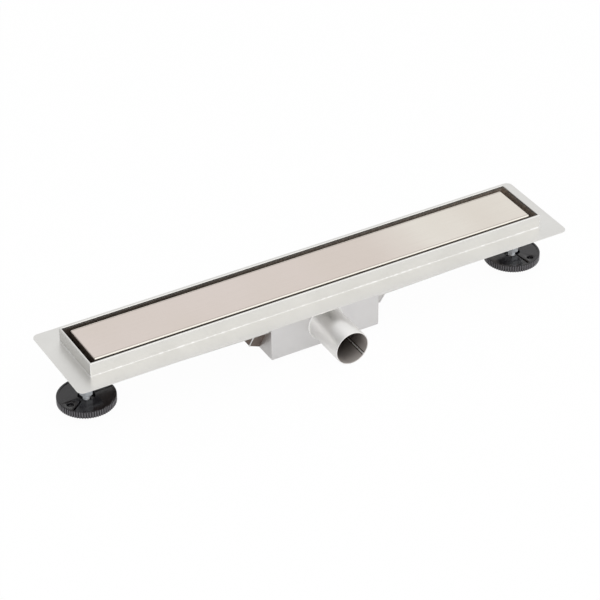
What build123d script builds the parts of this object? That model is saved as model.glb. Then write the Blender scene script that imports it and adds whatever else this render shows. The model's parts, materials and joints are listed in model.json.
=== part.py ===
from build123d import *
import os
from math import atan2, cos, radians, sin, tan

# A linear shower drain of 700 mm nominal length, in stainless steel sheet.
# A folded channel with a bonding flange carries a plain cover panel, and a trap box with a side
# outlet is welded under its middle. Two levelling feet carry it while the floor is laid.
# X runs along the drain, the outlet points towards -Y, and Z is up. The origin is the middle of
# the cover panel's top face, which lies level with the finished floor. Lengths are in millimetres.

os.makedirs("parts", exist_ok=True)

# Channel: rim, upstand and flange
sheet = 1.2
bend = 1.0
rim_length = 700.0
rim_width = 89.0
rim_above_cover = 2.0
hem_gap = 0.4
hem_round = 1.1
rim_corner = 2.2
upstand = 20.0
flange_end_reach = 28.7
flange_side_reach = 27.2
flange_corner = 9.0

# Channel: trough below the rim
end_depth = 42.0
trough_fall = 5.0
sump_edge = 6.2
lip_below_flange = 4.8

# Trap box under the middle of the channel
box_length = 170.0
box_side_reach = 3.8
box_below_outlet = 9.0
box_corner = 2.0
box_bottom_round = 1.9

# Inlet chutes at the two ends of the trap box
chute_length = 19.0
chute_low_gap = 1.8
chute_ramp = 12.0
chute_floor_width = 42.0

# Side outlet
outlet_diameter = 50.0
outlet_wall = 1.5
outlet_length = 70.5
weld_bead = 2.4
weld_bead_round = 1.9

# Odour trap: fixed weir, lift-out hood, seal and handle
weir_length = 76.0
weir_reach = 28.0
water_below_outlet_axis = 4.0
hood_gap = 12.0
hood_cover = 1.3
hood_dip = 22.0
hood_leg = 9.0
seal_wall = 1.2
seal_depth = 5.0
handle_span = 40.0
handle_width = 14.0
handle_rise = 8.0
handle_foot = 8.0

# Hair strainer over the sump
strainer_sheet = 1.0
strainer_overlap = 6.0
strainer_side_gap = 2.0
strainer_below_cover = 18.0
strainer_above_handle = 4.0
strainer_slot = 4.5
strainer_slot_length = 30.0
strainer_rows = 13
strainer_pitch = 16.0
skirt_slots = 6
skirt_pitch = 13.0
skirt_slot_length = 15.0

# Cover panel and its supports
panel_end_gap = 9.0
panel_side_gap = 7.0
panel_sheet = 1.5
panel_fold = 12.0
panel_bend = 0.5
panel_corner = 2.2
buffer_height = 1.5
buffer_length = 12.0
buffer_width = 6.0
support_strip = 1.5
support_width = 16.0
support_side_gap = 1.0
support_foot = 9.0
support_from_end = 50.0
support_from_sump = 46.0

# Levelling feet
foot_from_end = 10.0
box_above_ground = 2.0
nut_above_pad = 2.0
bolt_below_trough = 3.3
bolt_diameter = 10.0
bolt_head_diameter = 16.0
bolt_head_height = 2.0
bolt_head_lift = 0.3
bolt_tip_chamfer = 1.0
thread_clearance = 0.05
nut_flats = 17.0
nut_height = 8.0
nut_chamfer_height = 0.8
nut_chamfer_width = 1.4
washer_diameter = 20.0
washer_height = 2.0
washer_hole = 10.5
bracket_strip = 2.5
bracket_width = 20.0
bracket_hole = 11.0
bracket_corner = 3.0
bracket_past_bolt = 20.0
bracket_top_gap = 1.0
pad_diameter = 81.0
pad_height = 10.0
pad_floor = 4.0
pad_rim = 3.0
pad_flutes = 72
pad_flute_depth = 0.9
pad_flute_width = 1.9
pad_edge_chamfer = 0.8
land_start = 12.0
land_half_angle = 17.0
screw_circle = 60.0
screw_hole = 9.0
screw_hole_chamfer = 0.9
pad_bore_clearance = 0.2
pad_turn = {"left": 19.0, "right": -63.0}
sides = {"left": -1, "right": 1}

# Slack for picking edges by place or radius
slack = 0.01

# Plan sizes that follow from the sizes above
hem = 2 * sheet + hem_gap
rim_outer_length = rim_length + 2 * hem
rim_outer_width = rim_width + 2 * hem
flange_length = rim_outer_length + 2 * flange_end_reach
flange_width = rim_outer_width + 2 * flange_side_reach
trough_half = rim_length / 2
trough_outer_half_width = rim_width / 2 + sheet
sump_half = box_length / 2 + chute_length
sump_width = rim_width - 2 * sump_edge
box_width = 2 * (trough_outer_half_width + box_side_reach)
box_inner_length = box_length - 2 * sheet
box_front = -box_width / 2
box_front_inner = box_front + sheet
outlet_bore = outlet_diameter / 2 - outlet_wall
hood_length = weir_length + 2 * hood_gap
hood_back = box_front_inner + weir_reach + hood_gap
panel_length = rim_length - 2 * panel_end_gap
panel_width = rim_width - 2 * panel_side_gap
support_outer = trough_half - support_from_end
support_inner = sump_half + support_from_sump
support_places = (-support_outer, -support_inner, support_inner, support_outer)
foot_x = trough_half - foot_from_end
bolt_radius = bolt_diameter / 2

# Levels, from the rim down to the floor that the pads stand on
rim_top = rim_above_cover
flange_top = rim_top - upstand
flange_under = flange_top - sheet
lip_bottom = flange_under - lip_below_flange
floor_end = rim_top - end_depth
floor_mid = floor_end - trough_fall
chute_top = floor_mid - sheet
strainer_top = -strainer_below_cover
handle_top = strainer_top - strainer_above_handle
hood_top = handle_top - handle_rise
outlet_level = hood_top - sheet - hood_cover - outlet_bore
water_level = outlet_level - water_below_outlet_axis
hood_bottom = water_level - hood_dip
box_bottom = outlet_level - outlet_diameter / 2 - box_below_outlet
box_floor = box_bottom + sheet
chute_low = box_bottom + chute_low_gap
chute_end = chute_low + chute_ramp
ground = box_bottom - box_above_ground
pad_top = ground + pad_height
lower_nut_level = pad_top + nut_above_pad
lower_washer_level = lower_nut_level + nut_height
bracket_under = lower_washer_level + washer_height
bracket_top = bracket_under + bracket_strip
upper_nut_level = bracket_top + washer_height
bolt_base = ground + bolt_head_lift
bolt_tip = floor_end - sheet - bolt_below_trough
print(f"flange {flange_length:.1f} x {flange_width:.1f}, box width {box_width:.1f}")
print(f"outlet level {outlet_level:.1f}, ground {ground:.1f}, bolt length {bolt_tip - bolt_base:.1f}")


def floor_level(x):
    """Height of the trough floor's upper face, which falls evenly from each end to the sump."""
    along = (trough_half - max(abs(x), sump_half)) / (trough_half - sump_half)
    return floor_end - trough_fall * along


def save(part, name):
    """Labels a finished piece and writes it to its own file."""
    part.label = name
    export_step(part, f"parts/{name}.step")


def folded_strip(plane, path, thickness, width):
    """Strip folded along a path on one of its faces, which lies to the left of the path."""
    radii = []
    for (x0, y0), (x1, y1), (x2, y2) in zip(path, path[1:], path[2:]):
        turns_left = (x1 - x0) * (y2 - y1) - (y1 - y0) * (x2 - x1) > 0
        radii.append(bend + thickness if turns_left else bend)
    with BuildPart() as strip:
        with BuildSketch(plane):
            with BuildLine():
                FilletPolyline(*path, radius=radii)
                offset(amount=thickness, side=Side.LEFT)
            make_face()
        extrude(amount=width / 2, both=True)
    return strip.part


def trough_block(half_length, half_width, drop, fold_radius):
    """Solid with the trough's sloping underside and its folds rounded, as long and as wide as given."""
    with BuildPart() as block:
        with BuildSketch(Plane.XZ):
            with BuildLine():
                Polyline(
                    (-half_length, rim_top),
                    (half_length, rim_top),
                    (half_length, floor_end - drop),
                    (sump_half, floor_mid - drop),
                    (-sump_half, floor_mid - drop),
                    (-half_length, floor_end - drop),
                    close=True,
                )
            make_face()
        extrude(amount=half_width, both=True)
        folds = block.edges().filter_by(lambda e: e.center().Z < floor_end - drop + slack)
        fillet(folds.filter_by(lambda e: abs(abs(e.center().X) - sump_half) > slack), fold_radius)
    return block.part


# Channel body: one folded and corner-welded sheet. It is flange, upstand, folded rim, trough.
with BuildPart() as channel_body:
    add(trough_block(trough_half + sheet, trough_outer_half_width, sheet, bend + sheet))
    add(trough_block(trough_half, rim_width / 2, 0, bend), mode=Mode.SUBTRACT)
    with BuildSketch(Plane.XY.offset(flange_under)):
        RectangleRounded(rim_outer_length, rim_outer_width, rim_corner)
        Rectangle(rim_length + sheet, rim_width + sheet, mode=Mode.SUBTRACT)
    extrude(amount=upstand + sheet)
    with BuildSketch(Plane.XY.offset(flange_under)):
        RectangleRounded(flange_length, flange_width, flange_corner)
        Rectangle(rim_length + 3 * sheet, rim_width + 3 * sheet, mode=Mode.SUBTRACT)
    extrude(amount=sheet)
    rim_edges = channel_body.edges().group_by(Axis.Z)[-1]
    fillet(rim_edges, hem_round)
    foot_line = channel_body.edges().filter_by_position(Axis.Z, flange_top, flange_top)
    foot_line = foot_line.filter_by(lambda e: abs(e.center().Y) <= rim_outer_width / 2 + slack)
    foot_line = foot_line.filter_by(lambda e: abs(e.center().X) <= rim_outer_length / 2 + slack)
    fillet(foot_line, bend)
    # The space between the two leaves of the folded rim, open to below
    with BuildSketch(Plane.XY.offset(flange_under)):
        RectangleRounded(rim_outer_length - 2 * sheet, rim_outer_width - 2 * sheet, rim_corner - sheet)
        Rectangle(rim_length + 2 * sheet, rim_width + 2 * sheet, mode=Mode.SUBTRACT)
    extrude(amount=upstand, mode=Mode.SUBTRACT)
    under_edges = channel_body.edges().filter_by_position(Axis.Z, flange_under, flange_under)
    leaf_half_width = rim_outer_width / 2 - sheet
    leaf_half_length = rim_outer_length / 2 - sheet
    under_edges = under_edges.filter_by(lambda e: abs(e.center().Y) <= leaf_half_width + slack)
    under_edges = under_edges.filter_by(lambda e: abs(e.center().X) <= leaf_half_length + slack)
    leaf_edges = under_edges.filter_by(
        lambda e: abs(e.center().Y) > trough_outer_half_width + hem_gap / 2
        or abs(e.center().X) > trough_half + sheet + hem_gap / 2
    )
    fillet(leaf_edges, bend + sheet)
    # The sump opening, and the wider cut over the trap box
    with BuildSketch(Plane.XY.offset(floor_mid)):
        Rectangle(2 * (sump_half - sheet), sump_width)
    extrude(amount=2 * sheet, both=True, mode=Mode.SUBTRACT)
    with BuildSketch(Plane.XY.offset(lip_bottom)):
        Rectangle(box_inner_length, 2 * trough_outer_half_width)
    extrude(amount=box_bottom - lip_bottom, mode=Mode.SUBTRACT)
save(channel_body.part, "channel_body")


def chute_section(inset, top):
    """Corners of the chute's section from the given top to the box's bottom, less a wall if inset."""
    lean = (sump_width / 2 - chute_floor_width / 2) / (chute_top - chute_end)
    skew = inset * (1 + lean**2) ** 0.5
    half_top = sump_width / 2 - skew + lean * (top - chute_top)
    half_low = sump_width / 2 - skew - lean * (chute_top - box_bottom)
    return [(-half_top, top), (half_top, top), (half_low, box_bottom), (-half_low, box_bottom)]


def chute_solid(side, inset, start, end, top):
    """Closed trapezium prism between two distances from the middle, cut by the sloping ramp."""
    ramp_angle = atan2(chute_ramp, chute_length)
    lift = inset / cos(ramp_angle)
    with BuildPart() as prism:
        with BuildSketch(Plane.YZ.offset(side * start)):
            with BuildLine():
                Polyline(*chute_section(inset, top), close=True)
            make_face()
        extrude(amount=side * (end - start))
        ramp = Plane(
            origin=(side * sump_half, 0, chute_end + lift),
            z_dir=(side * sin(ramp_angle), 0, -cos(ramp_angle)),
        )
        split(bisect_by=ramp, keep=Keep.BOTTOM)
    return prism.part


# Trap box: a folded tray with its open top under the flange, cut for the chutes and the outlet
with BuildPart() as trap_box:
    with BuildSketch(Plane.XY.offset(box_bottom)):
        RectangleRounded(box_length, box_width, box_corner)
    extrude(amount=flange_under - box_bottom)
    fillet(trap_box.faces().sort_by(Axis.Z)[0].edges(), box_bottom_round)
    offset(amount=-sheet, openings=trap_box.faces().sort_by(Axis.Z)[-1])
    with BuildSketch(Plane.XY.offset(chute_top)):
        Rectangle(box_length, 2 * trough_outer_half_width)
    extrude(amount=flange_under - chute_top, mode=Mode.SUBTRACT)
    for side in sides.values():
        start = box_inner_length / 2 - sheet
        add(chute_solid(side, sheet, start, start + 3 * sheet, chute_top + sheet), mode=Mode.SUBTRACT)
    with BuildSketch(Plane.XZ.offset(-box_front - 2 * sheet)):
        with Locations((0, outlet_level)):
            Circle(outlet_bore)
    extrude(amount=3 * sheet, mode=Mode.SUBTRACT)
save(trap_box.part, "trap_box")

# Inlet chutes: folded ramps that lead from the trough's low ends into the trap box
for name, side in sides.items():
    with BuildPart() as inlet_chute:
        add(chute_solid(side, 0, box_length / 2, sump_half, chute_top))
        add(
            chute_solid(side, sheet, box_length / 2 - sheet, sump_half - sheet, chute_top + sheet),
            mode=Mode.SUBTRACT,
        )
    save(inlet_chute.part, f"inlet_chute_{name}")

# Outlet spigot: a welded tube with its bead against the front of the trap box
with BuildPart() as outlet_spigot:
    with BuildSketch(Plane.XZ.offset(-box_front)):
        with Locations((0, outlet_level)):
            Circle(outlet_diameter / 2)
            Circle(outlet_bore, mode=Mode.SUBTRACT)
    extrude(amount=outlet_length)
    with BuildSketch(Plane.XZ.offset(-box_front)):
        with Locations((0, outlet_level)):
            Circle(outlet_diameter / 2 + weld_bead)
            Circle(outlet_diameter / 2, mode=Mode.SUBTRACT)
    extrude(amount=weld_bead)
    bead_edge = outlet_spigot.edges().filter_by(GeomType.CIRCLE)
    bead_edge = bead_edge.filter_by(lambda e: abs(e.radius - outlet_diameter / 2 - weld_bead) < slack)
    fillet(bead_edge.sort_by(Axis.Y)[0], weld_bead_round)
save(outlet_spigot.part, "outlet_spigot")

# Weir plate: a folded wall that keeps water in the box up to the outlet's sill
with BuildPart() as weir_plate:
    with BuildSketch(Plane.XY.offset(box_floor)):
        with Locations((0, box_front_inner)):
            Rectangle(weir_length, weir_reach, align=(Align.CENTER, Align.MIN))
            Rectangle(
                weir_length - 2 * sheet,
                weir_reach - sheet,
                align=(Align.CENTER, Align.MIN),
                mode=Mode.SUBTRACT,
            )
    extrude(amount=water_level - box_floor)
    fold_edges = weir_plate.edges().filter_by(Axis.Z).group_by(Axis.Y)
    fillet(fold_edges[-1], bend + sheet)
    fillet(weir_plate.edges().filter_by(Axis.Z).group_by(Axis.Y)[-2], bend)
    wall_edges = weir_plate.edges().filter_by(Axis.X).filter_by_position(Axis.Z, box_floor, box_floor)
    chamfer(wall_edges.filter_by(lambda e: e.length < 2 * sheet), box_corner - sheet)
save(weir_plate.part, "weir_plate")

# Trap hood: a folded bell that dips into the water round the weir and lifts out for cleaning
hood_front = box_front_inner + seal_wall
with BuildPart() as trap_hood:
    with BuildSketch(Plane.XY.offset(hood_bottom)):
        with Locations((0, hood_back)):
            Rectangle(hood_length, hood_back - hood_front, align=(Align.CENTER, Align.MAX))
    extrude(amount=hood_top - hood_bottom)
    bell_edges = trap_hood.edges().filter_by(Axis.Z).group_by(Axis.Y)[-1]
    bell_edges += trap_hood.faces().sort_by(Axis.Z)[-1].edges().sort_by(Axis.Y)[1:]
    fillet(bell_edges, bend + sheet)
    openings = [trap_hood.faces().sort_by(Axis.Z)[0], trap_hood.faces().sort_by(Axis.Y)[0]]
    offset(amount=-sheet, openings=openings)
    with BuildSketch(Plane.XZ.offset(-hood_back)):
        for side in sides.values():
            with Locations((side * (hood_length / 2 - bend - sheet), hood_bottom)):
                Rectangle(
                    hood_leg,
                    hood_bottom - box_floor,
                    align=(Align.MAX if side > 0 else Align.MIN, Align.MAX),
                )
    extrude(amount=sheet)
    for side in sides.values():
        with BuildSketch(Plane.YZ.offset(side * hood_length / 2)):
            with Locations((hood_front + seal_depth, hood_bottom)):
                Rectangle(hood_leg, hood_bottom - box_floor, align=(Align.MIN, Align.MAX))
        extrude(amount=-side * sheet)
save(trap_hood.part, "trap_hood")

# Trap seal: a rubber strip pushed over the hood's front edge, pressed against the trap box
with BuildPart() as trap_seal:
    with BuildSketch(Plane.XZ.offset(-box_front_inner)):
        with Locations((0, hood_top + seal_wall)):
            Rectangle(
                hood_length + 2 * seal_wall,
                hood_top + seal_wall - hood_bottom,
                align=(Align.CENTER, Align.MAX),
            )
        with Locations((0, hood_top - sheet - seal_wall)):
            Rectangle(
                hood_length - 2 * sheet - 2 * seal_wall,
                hood_top - hood_bottom,
                align=(Align.CENTER, Align.MAX),
                mode=Mode.SUBTRACT,
            )
    extrude(amount=-seal_depth)
    add(trap_hood.part, mode=Mode.SUBTRACT)
save(trap_seal.part, "trap_seal")

# Trap handle: a strap folded into a grip and spot-welded on the hood
handle_y = (hood_front + seal_depth + hood_back) / 2
handle_path = [
    (-handle_span / 2 - handle_foot, hood_top),
    (-handle_span / 2, hood_top),
    (-handle_span / 2, handle_top - sheet),
    (handle_span / 2, handle_top - sheet),
    (handle_span / 2, hood_top),
    (handle_span / 2 + handle_foot, hood_top),
]
with BuildPart() as trap_handle:
    add(folded_strip(Plane.XZ.offset(-handle_y), handle_path, sheet, handle_width))
save(trap_handle.part, "trap_handle")

# Hair strainer: a slotted bridge over the sump, standing on the trough floor by its end skirts
strainer_length = 2 * (sump_half + strainer_overlap)
strainer_width = rim_width - 2 * strainer_side_gap
strainer_foot = floor_level(strainer_length / 2)
strainer_path = [
    (strainer_length / 2, strainer_foot),
    (strainer_length / 2, strainer_top),
    (-strainer_length / 2, strainer_top),
    (-strainer_length / 2, strainer_foot),
]
with BuildPart() as hair_strainer:
    add(folded_strip(Plane.XZ, strainer_path, strainer_sheet, strainer_width))
    with BuildSketch(Plane.XY.offset(strainer_top)):
        with GridLocations(strainer_pitch, strainer_width / 2, strainer_rows, 2):
            SlotOverall(strainer_slot_length, strainer_slot, rotation=90)
    extrude(amount=-2 * strainer_sheet, mode=Mode.SUBTRACT)
    skirt_middle = (strainer_top - strainer_sheet + strainer_foot) / 2
    for side in sides.values():
        with BuildSketch(Plane.YZ.offset(side * strainer_length / 2)):
            with Locations((0, skirt_middle)):
                with GridLocations(skirt_pitch, 1, skirt_slots, 1):
                    SlotOverall(skirt_slot_length, strainer_slot, rotation=90)
        extrude(amount=-side * 2 * strainer_sheet, mode=Mode.SUBTRACT)
save(hair_strainer.part, "hair_strainer")

# Cover panel: a plate with its edges folded down all round
with BuildPart() as cover_panel:
    with BuildSketch():
        RectangleRounded(panel_length, panel_width, panel_corner)
    extrude(amount=-panel_fold)
    fillet(cover_panel.edges().group_by(Axis.Z)[-1], panel_bend + panel_sheet)
    with BuildSketch(Plane.XY.offset(-panel_sheet)):
        RectangleRounded(
            panel_length - 2 * panel_sheet, panel_width - 2 * panel_sheet, panel_corner - panel_sheet
        )
    extrude(amount=-panel_fold, mode=Mode.SUBTRACT)
    fillet(cover_panel.faces().filter_by(Axis.Z).sort_by(Axis.Z)[-2].edges(), panel_bend)
save(cover_panel.part, "cover_panel")

# Cover supports: folded bridges welded across the trough
support_top = -panel_fold - buffer_height
support_half = rim_width / 2 - support_side_gap
for number, place in enumerate(support_places, start=1):
    support_base = max(floor_level(place - support_width / 2), floor_level(place + support_width / 2))
    support_path = [
        (support_half - support_foot, support_base),
        (support_half, support_base),
        (support_half, support_top),
        (-support_half, support_top),
        (-support_half, support_base),
        (-support_half + support_foot, support_base),
    ]
    with BuildPart() as cover_support:
        add(folded_strip(Plane.YZ.offset(place), support_path, support_strip, support_width))
    save(cover_support.part, f"cover_support_{number}")

# Cover buffers: small rubber blocks on the supports, under the panel's folded long edges
buffer_y = (panel_width - panel_sheet) / 2
with BuildPart() as cover_buffers:
    for place in support_places:
        with BuildSketch(Plane.XY.offset(support_top)):
            with Locations((place, -buffer_y), (place, buffer_y)):
                RectangleRounded(buffer_length, buffer_width, buffer_width / 4)
        extrude(amount=buffer_height)
save(cover_buffers.part, "cover_buffers")


def bracket(side):
    """Angle strip welded to the trough's end wall, with a hole for the levelling bolt."""
    outer_face = trough_half + sheet + bracket_strip
    path = [
        (side * (foot_x - bracket_past_bolt), bracket_under),
        (side * outer_face, bracket_under),
        (side * outer_face, flange_under - bracket_top_gap),
    ]
    with BuildPart() as angle:
        add(folded_strip(Plane.XZ, path[::side], bracket_strip, bracket_width))
        free_end = angle.edges().filter_by(Axis.Z).sort_by(lambda e: abs(e.center().X))
        fillet(free_end[:2], bracket_corner)
        with BuildSketch(Plane.XY.offset(bracket_under)):
            with Locations((side * foot_x, 0)):
                Circle(bracket_hole / 2)
        extrude(amount=bracket_strip, mode=Mode.SUBTRACT)
    return angle.part


def washer(side, level):
    """Plain washer on the levelling bolt, with its lower face at the given level."""
    with BuildPart() as ring:
        with BuildSketch(Plane((side * foot_x, 0, level))):
            Circle(washer_diameter / 2)
            Circle(washer_hole / 2, mode=Mode.SUBTRACT)
        extrude(amount=washer_height)
    return ring.part


def nut(side, level):
    """Hexagon nut with chamfered corners, with its lower face at the given level."""
    corner_radius = nut_flats / 2 / cos(radians(30))
    with BuildPart() as hexagon:
        with BuildSketch(Plane((side * foot_x, 0, level))):
            RegularPolygon(nut_flats / 2, 6, major_radius=False)
        extrude(amount=nut_height)
        with BuildPart(Plane((side * foot_x, 0, level)), mode=Mode.INTERSECT) as blank:
            Cylinder(corner_radius, nut_height, align=(Align.CENTER, Align.CENTER, Align.MIN))
            rims = blank.edges().filter_by(GeomType.CIRCLE)
            chamfer(rims, nut_chamfer_height, nut_chamfer_width)
        with BuildSketch(Plane((side * foot_x, 0, level))):
            Circle(bolt_radius + thread_clearance)
        extrude(amount=nut_height, mode=Mode.SUBTRACT)
    return hexagon.part


def levelling_bolt(side):
    """Threaded stud with a thin head that is held in the underside of the pad."""
    base = Plane((side * foot_x, 0, bolt_base))
    with BuildPart() as bolt:
        with BuildSketch(base):
            Circle(bolt_head_diameter / 2)
        extrude(amount=bolt_head_height)
        with BuildSketch(base):
            Circle(bolt_radius)
        extrude(amount=bolt_tip - bolt_base)
        chamfer(bolt.edges().group_by(Axis.Z)[-1], bolt_tip_chamfer)
    return bolt.part


def pad(side, turn):
    """Moulded foot: fluted rim, sunk floor and two raised lands with fixing holes."""
    base = Plane((side * foot_x, 0, ground), x_dir=(cos(radians(turn)), sin(radians(turn)), 0))
    radius = pad_diameter / 2
    reach = 2 * radius
    spread = reach * tan(radians(land_half_angle))
    with BuildPart() as foot:
        with BuildSketch(base):
            Circle(radius)
        extrude(amount=pad_height)
        chamfer(foot.edges().group_by(Axis.Z)[-1], pad_edge_chamfer)
        with BuildSketch(base):
            with PolarLocations(radius, pad_flutes):
                Rectangle(2 * pad_flute_depth, pad_flute_width)
        extrude(amount=pad_height, mode=Mode.SUBTRACT)
        with BuildSketch(base.offset(pad_floor)):
            Circle(radius - pad_rim)
            Polygon((0, 0), (reach, -spread), (reach, spread), align=None, mode=Mode.SUBTRACT)
            Polygon((0, 0), (-reach, spread), (-reach, -spread), align=None, mode=Mode.SUBTRACT)
            Circle(land_start)
        extrude(amount=pad_height - pad_floor, mode=Mode.SUBTRACT)
        with BuildSketch(base):
            with GridLocations(screw_circle, 1, 2, 1):
                Circle(screw_hole / 2)
            Circle(bolt_radius + pad_bore_clearance)
        extrude(amount=pad_height, mode=Mode.SUBTRACT)
        rims = foot.edges().filter_by(GeomType.CIRCLE).group_by(Axis.Z)[-1]
        chamfer(rims.filter_by(lambda e: abs(e.radius - screw_hole / 2) < slack), screw_hole_chamfer)
        with BuildSketch(base):
            Circle(bolt_head_diameter / 2 + pad_bore_clearance)
        extrude(amount=bolt_head_lift + bolt_head_height, mode=Mode.SUBTRACT)
    return foot.part


for name, side in sides.items():
    save(bracket(side), f"foot_bracket_{name}")
    save(washer(side, lower_washer_level), f"lower_washer_{name}")
    save(nut(side, lower_nut_level), f"lower_nut_{name}")
    save(washer(side, bracket_top), f"upper_washer_{name}")
    save(nut(side, upper_nut_level), f"upper_nut_{name}")
    save(levelling_bolt(side), f"levelling_bolt_{name}")
    save(pad(side, pad_turn[name]), f"foot_pad_{name}")
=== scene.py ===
"""Looks of a stainless linear shower drain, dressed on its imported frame.

Lengths are metres, and MM turns a size in millimetres into them.
"""

import json
import logging
import math
from collections.abc import Callable, Iterable, Sequence
from dataclasses import dataclass, field
from enum import Enum

import bmesh
import bpy
from mathutils import Matrix, Vector

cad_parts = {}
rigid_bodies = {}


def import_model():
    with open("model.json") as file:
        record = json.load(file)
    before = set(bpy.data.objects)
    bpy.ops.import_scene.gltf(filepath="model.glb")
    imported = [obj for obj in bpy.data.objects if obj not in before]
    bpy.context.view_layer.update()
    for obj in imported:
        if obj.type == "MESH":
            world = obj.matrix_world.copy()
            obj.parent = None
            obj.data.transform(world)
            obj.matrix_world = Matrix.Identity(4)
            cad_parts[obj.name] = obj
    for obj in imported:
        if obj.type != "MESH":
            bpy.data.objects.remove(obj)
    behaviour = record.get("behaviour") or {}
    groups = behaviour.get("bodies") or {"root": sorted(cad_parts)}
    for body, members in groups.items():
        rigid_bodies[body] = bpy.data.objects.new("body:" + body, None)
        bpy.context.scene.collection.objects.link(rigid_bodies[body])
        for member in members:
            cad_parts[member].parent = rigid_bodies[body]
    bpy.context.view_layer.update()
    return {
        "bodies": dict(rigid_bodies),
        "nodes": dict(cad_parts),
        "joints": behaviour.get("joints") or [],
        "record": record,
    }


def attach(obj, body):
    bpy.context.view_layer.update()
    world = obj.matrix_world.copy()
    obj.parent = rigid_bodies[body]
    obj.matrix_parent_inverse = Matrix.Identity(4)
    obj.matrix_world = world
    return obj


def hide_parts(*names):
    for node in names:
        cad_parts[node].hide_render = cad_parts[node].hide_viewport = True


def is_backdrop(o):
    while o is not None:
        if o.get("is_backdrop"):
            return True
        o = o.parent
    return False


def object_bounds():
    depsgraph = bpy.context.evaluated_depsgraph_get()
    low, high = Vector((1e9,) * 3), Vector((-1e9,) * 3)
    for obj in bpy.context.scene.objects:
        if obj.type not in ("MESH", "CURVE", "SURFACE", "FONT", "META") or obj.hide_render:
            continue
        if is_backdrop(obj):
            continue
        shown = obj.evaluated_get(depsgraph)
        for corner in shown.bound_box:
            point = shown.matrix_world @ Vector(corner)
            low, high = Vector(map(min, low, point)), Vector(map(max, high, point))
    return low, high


LOG = logging.getLogger("drain")
MM = 0.001
CHANNEL = "channel"
# An edge that turns by more than this is a sharp one
SHARP_DEG = 35.0
# Triangles that turn by less than this belong to one flat face
FLAT_DEG = 0.4
# Points nearer than these are one point: on a turned shape, and on a CAD mesh
SAME_POINT = 1e-7
SAME_CAD_POINT = 1e-6
# Noise keeps mostly between these two values
NOISE_LOW, NOISE_HIGH = 0.3, 0.7
Point = tuple[float, float, float]
Node = bpy.types.Node
Socket = bpy.types.NodeSocket
Tree = bpy.types.NodeTree


class Side(Enum):
    """The two ends of the drain."""

    LEFT = -1
    RIGHT = 1

    @property
    def word(self) -> str:
        """The side's name in node names."""
        return self.name.lower()

    @property
    def body(self) -> str:
        """The body that the foot on this side rides on."""
        return f"{self.word}_foot"


class Slot(Enum):
    """The record's material slots, passed along with the new pieces."""

    CHANNEL = "channel_steel"
    ZINC = "zinc_hardware"
    PAD = "pad_plastic"


def linear(hex_code: str) -> tuple[float, float, float, float]:
    """Turns an sRGB hex colour into linear values.

    Args:
        hex_code: Six hex digits, such as "DAD9D4".

    Returns:
        Red, green, blue and alpha for a node socket.
    """
    channels = [int(hex_code[i:i + 2], 16) / 255 for i in (0, 2, 4)]
    values = [c / 12.92 if c <= 0.04045 else ((c + 0.055) / 1.055) ** 2.4 for c in channels]
    return (*values, 1.0)


def add_node(
    tree: Tree,
    kind: str,
    settings: dict[str | int, object] | None = None,
    links: dict[str | int, Socket] | None = None,
) -> Node:
    """Adds a node with its settings and links.

    Args:
        tree: The tree that gets the node.
        kind: The node's type name.
        settings: Values by attribute name, input name or input number.
        links: Output sockets by the input that they feed.

    Returns:
        The new node.
    """
    node = tree.nodes.new(kind)
    for key, value in (settings or {}).items():
        if isinstance(key, str) and hasattr(node, key):
            setattr(node, key, value)
        else:
            node.inputs[key].default_value = value
    for key, socket in (links or {}).items():
        tree.links.new(socket, node.inputs[key])
    return node


def add_object(name: str, shape: bpy.types.ID) -> bpy.types.Object:
    """Links a mesh or curve into the scene as an object at the origin.

    Args:
        name: The object's name.
        shape: Its mesh or curve.

    Returns:
        The new object.
    """
    piece = bpy.data.objects.new(name, shape)
    bpy.context.scene.collection.objects.link(piece)
    return piece


def baked(piece: bpy.types.Object) -> bpy.types.Object:
    """Turns an object with modifiers into a plain mesh object of the same name.

    Args:
        piece: The mesh or curve object with its modifiers.

    Returns:
        A mesh object without modifiers.
    """
    bpy.context.view_layer.update()
    graph = bpy.context.evaluated_depsgraph_get()
    mesh = bpy.data.meshes.new_from_object(piece.evaluated_get(graph))
    name = piece.name
    bpy.data.objects.remove(piece)
    mesh.name = name
    return add_object(name, mesh)


def smoothed(mesh: bpy.types.Mesh) -> bpy.types.Mesh:
    """Shades a mesh smooth, apart from its sharp edges.

    Args:
        mesh: The mesh to shade.

    Returns:
        The same mesh.
    """
    mesh.shade_smooth()
    mesh.set_sharp_from_angle(angle=math.radians(SHARP_DEG))
    return mesh


def lathe(
    name: str,
    profile: Sequence[tuple[float, float]],
    to_place: Callable[[float, float, float], Point],
    angles: Sequence[float],
    whole: bool = True,
) -> bpy.types.Mesh:
    """Turns a closed profile round an axis.

    Args:
        name: The mesh's name.
        profile: The section's radius and height pairs, in order round it.
        to_place: Turns radius, angle and height into a point.
        angles: The steps round the axis, in radians.
        whole: Whether it goes all the way round; a part turn gets end faces.

    Returns:
        A closed mesh whose faces point outwards.
    """
    work = bmesh.new()
    rings = [
        [work.verts.new(to_place(radius, angle, height)) for radius, height in profile]
        for angle in angles
    ]
    count = len(profile)
    followers = rings[1:] + rings[:1] if whole else rings[1:]
    for ring, beside in zip(rings, followers):
        for i in range(count):
            j = (i + 1) % count
            work.faces.new((ring[i], ring[j], beside[j], beside[i]))
    if not whole:
        work.faces.new(rings[0])
        work.faces.new(rings[-1])
    bmesh.ops.remove_doubles(work, verts=work.verts, dist=SAME_POINT)
    bmesh.ops.recalc_face_normals(work, faces=work.faces)
    mesh = bpy.data.meshes.new(name)
    work.to_mesh(mesh)
    work.free()
    return mesh


def even_angles(count: int) -> list[float]:
    """Evenly spaced angles round a full turn."""
    return [2 * math.pi * step / count for step in range(count)]


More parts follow.
